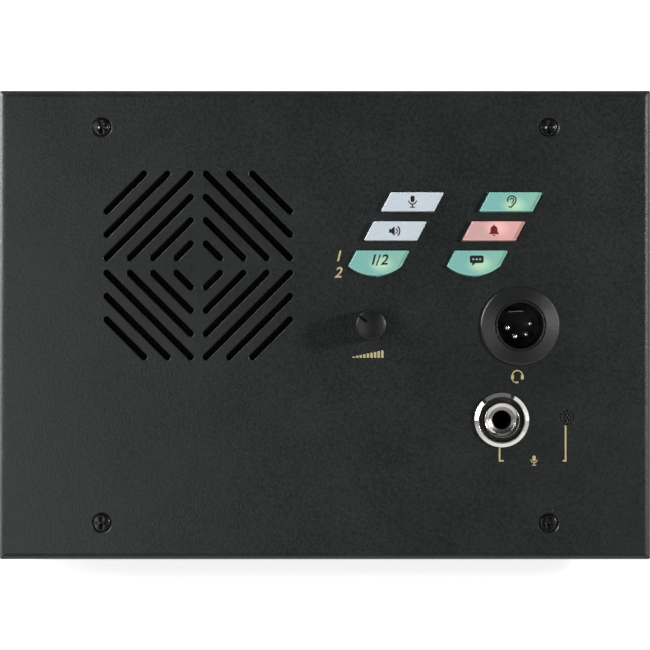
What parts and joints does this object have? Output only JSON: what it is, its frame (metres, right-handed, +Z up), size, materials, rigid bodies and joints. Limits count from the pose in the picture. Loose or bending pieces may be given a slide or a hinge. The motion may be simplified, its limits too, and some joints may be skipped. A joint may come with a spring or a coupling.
{
  "type": "intercom desktop speaker station",
  "caption": "Sloped desktop intercom station with a slotted speaker grille, six lit keys, volume knob, headset socket, microphone jack and rear line sockets.",
  "frame": {"origin": "on the table under the middle of the object's box", "axes": "+X to the user's right, +Y to the rear, +Z up; the panel leans back 30 degrees from level"},
  "size_m": [0.227, 0.1512, 0.1111],
  "materials": {
    "panel_coat": "fine textured powder coat, satin charcoal",
    "case_coat": "fine textured powder coat, satin black",
    "black_screw": "black oxide",
    "zinc_steel": "bright zinc plate",
    "black_rubber": "matte",
    "white_key": "satin, translucent",
    "green_key": "satin, translucent, lit",
    "red_key": "satin, translucent, lit",
    "knob_black": "soft satin",
    "socket_black": "satin black",
    "moulding_black": "satin",
    "contact_silver": "bright silver plate",
    "bright_chrome": "polished",
    "nickel": "satin nickel",
    "black_cloth": "acoustic weave",
    "grey_foam": "open cell foam",
    "cone_paper": "pressed paper",
    "ferrite": "ground ferrite",
    "copper": "enamelled copper",
    "board_green": "solder mask",
    "lamp_clear": "clear"
  },
  "bodies": {
    "station": {"front_panel": "panel_coat", "panel_screws": "black_screw", "panel_nuts": "zinc_steel", "case": "case_coat", "feet": "black_rubber", "foot_screws": "zinc_steel", "foot_nuts": "zinc_steel", "grille_cloth": "black_cloth", "speaker_gasket": "grey_foam", "speaker_frame": "zinc_steel", "speaker_cone": "cone_paper", "dust_cap": "cone_paper", "voice_coil": "copper", "front_plate": "zinc_steel", "speaker_magnet": "ferrite", "pole_piece": "zinc_steel", "speaker_nuts": "zinc_steel", "mic_switch": "moulding_black", "speaker_switch": "moulding_black", "channel_switch": "moulding_black", "listen_switch": "moulding_black", "call_switch": "moulding_black", "talk_switch": "moulding_black", "key_lamps": "lamp_clear", "lamp_spacers": "moulding_black", "circuit_board": "board_green", "board_standoffs": "zinc_steel", "board_screws": "zinc_steel", "volume_control": "moulding_black", "headset_shell": "socket_black", "headset_carrier": "moulding_black", "headset_pins": "contact_silver", "headset_ground_tab": "contact_silver", "headset_ring_nut": "nickel", "jack_collar": "bright_chrome", "jack_nose": "bright_chrome", "jack_body": "moulding_black", "jack_nut": "nickel", "mic_boot": "black_rubber", "mic_capsule": "nickel", "line_in_shell": "socket_black", "line_in_core": "moulding_black", "line_out_shell": "socket_black", "line_out_carrier": "moulding_black", "line_out_pins": "contact_silver", "line_screws": "black_screw"},
    "mic_button": {"mic_key": "white_key"},
    "speaker_button": {"speaker_key": "white_key"},
    "channel_button": {"channel_key": "green_key"},
    "listen_button": {"listen_key": "green_key"},
    "call_button": {"call_key": "red_key"},
    "talk_button": {"talk_key": "green_key"},
    "volume_dial": {"volume_knob": "knob_black", "volume_shaft": "nickel"},
    "line_release": {"line_in_latch": "socket_black"}
  },
  "joints": [
    {"name": "mic_press", "type": "slide", "parent": "station", "child": "mic_button", "axis": [0, 0.5, -0.866], "range_m": [0, 0.001], "stiffness_N_per_m": 600, "springref_m": -0.001},
    {"name": "speaker_press", "type": "slide", "parent": "station", "child": "speaker_button", "axis": [0, 0.5, -0.866], "range_m": [0, 0.001], "stiffness_N_per_m": 600, "springref_m": -0.001},
    {"name": "channel_press", "type": "slide", "parent": "station", "child": "channel_button", "axis": [0, 0.5, -0.866], "range_m": [0, 0.001], "stiffness_N_per_m": 600, "springref_m": -0.001},
    {"name": "listen_press", "type": "slide", "parent": "station", "child": "listen_button", "axis": [0, 0.5, -0.866], "range_m": [0, 0.001], "stiffness_N_per_m": 600, "springref_m": -0.001},
    {"name": "call_press", "type": "slide", "parent": "station", "child": "call_button", "axis": [0, 0.5, -0.866], "range_m": [0, 0.001], "stiffness_N_per_m": 600, "springref_m": -0.001},
    {"name": "talk_press", "type": "slide", "parent": "station", "child": "talk_button", "axis": [0, 0.5, -0.866], "range_m": [0, 0.001], "stiffness_N_per_m": 600, "springref_m": -0.001},
    {"name": "volume_turn", "type": "hinge", "parent": "station", "child": "volume_dial", "pos_m": [0.0158, -0.00541, 0.07093], "axis": [0, -0.5, 0.866], "range_deg": [-204, 96]},
    {"name": "line_release_press", "type": "slide", "parent": "station", "child": "line_release", "axis": [0, -1, 0], "range_m": [0, 0.002], "stiffness_N_per_m": 600, "springref_m": -0.001}
  ]
}
